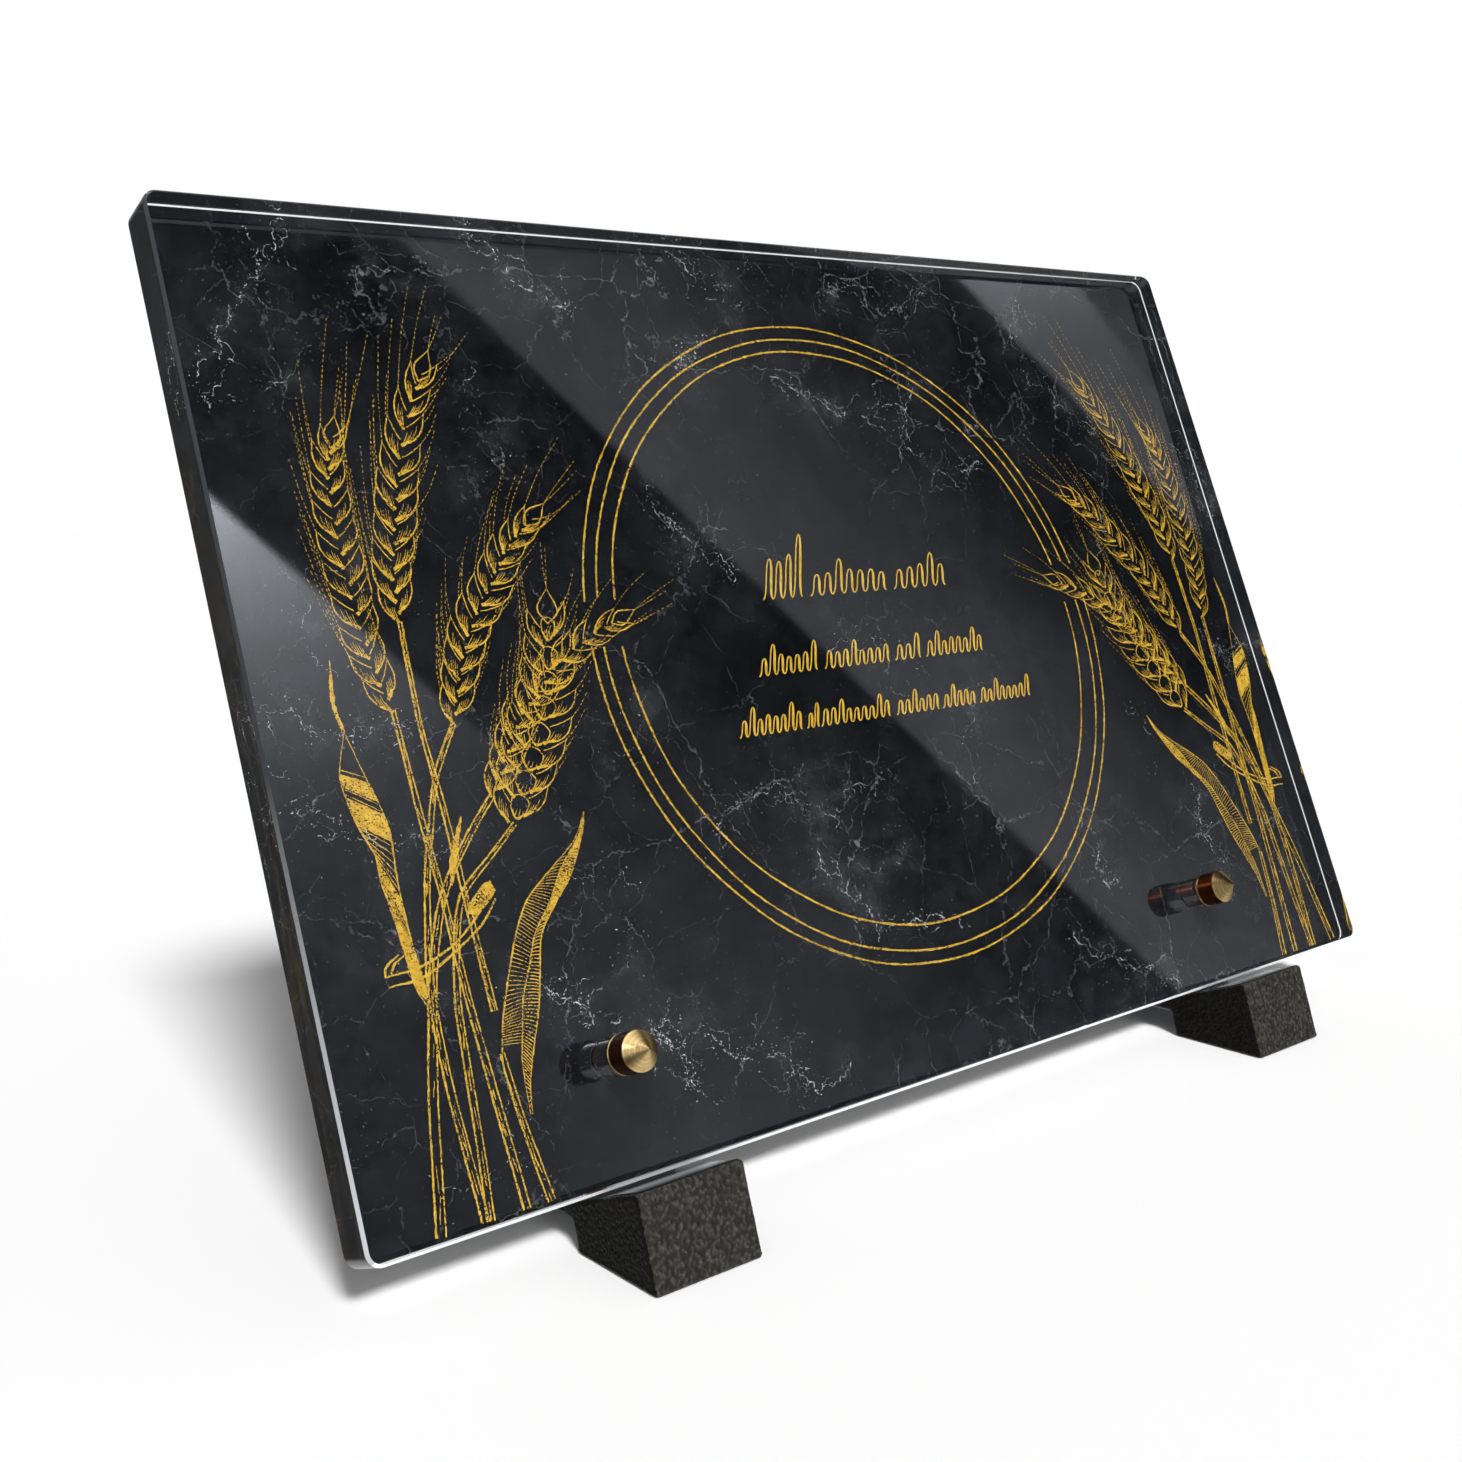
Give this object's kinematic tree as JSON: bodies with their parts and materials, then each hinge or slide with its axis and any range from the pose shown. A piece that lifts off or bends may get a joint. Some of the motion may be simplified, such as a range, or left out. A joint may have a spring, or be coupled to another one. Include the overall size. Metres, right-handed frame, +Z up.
{
  "type": "marble-look grave plaque",
  "caption": "Rectangular grave plaque: a thick clear plate with a black marble-look print on its back, leaning back on stone feet, held by brass cone-headed screws.",
  "frame": {"origin": "centre of the plaque's footprint box, on the ground under the feet", "axes": "+X to the plaque's right as its reader sees it, -Y the side it is read from, +Z up"},
  "size_m": [0.3, 0.096, 0.2013],
  "materials": {
    "printed_plate": "polished",
    "granite": "matte",
    "brass": "satin"
  },
  "bodies": {
    "root": {"plate": "printed_plate", "foot_left": "granite", "foot_right": "granite", "screw_left": "brass", "screw_right": "brass"}
  },
  "joints": []
}
